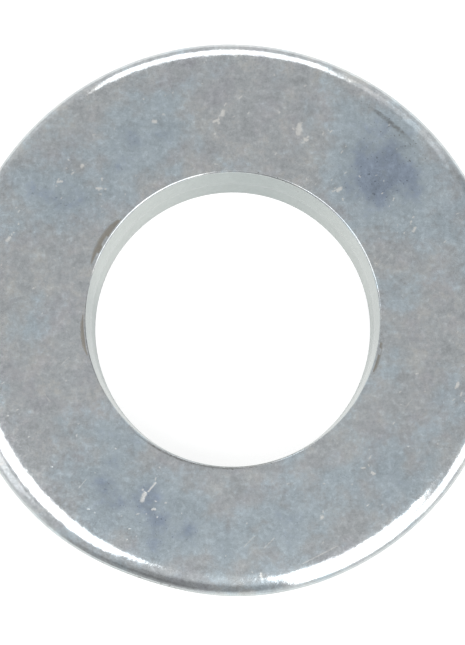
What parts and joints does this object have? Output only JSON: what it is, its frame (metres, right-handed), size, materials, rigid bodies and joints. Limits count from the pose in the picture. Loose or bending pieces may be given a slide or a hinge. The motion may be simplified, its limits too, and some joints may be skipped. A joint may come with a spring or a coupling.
{
  "type": "flat washer",
  "caption": "Flat ring that goes on a bolt under its head or nut and spreads the clamping force over a wider face.",
  "frame": {"origin": "where the axis of the hole meets the underside, which is also the bottom centre of the bounding box", "axes": "+Z along the axis of the hole, from the underside to the face with the rounded outside edge; X and Y are any two directions across the washer, because it is round"},
  "size_m": [0.02, 0.02, 0.002],
  "materials": {
    "zinc_plated_steel": "zinc plated and clear blue passivated over rolled steel: satin, clouded blue-grey with faint violet and straw tints, finely speckled, with small nicks and scratches"
  },
  "bodies": {
    "root": {"washer": "zinc_plated_steel"}
  },
  "joints": []
}
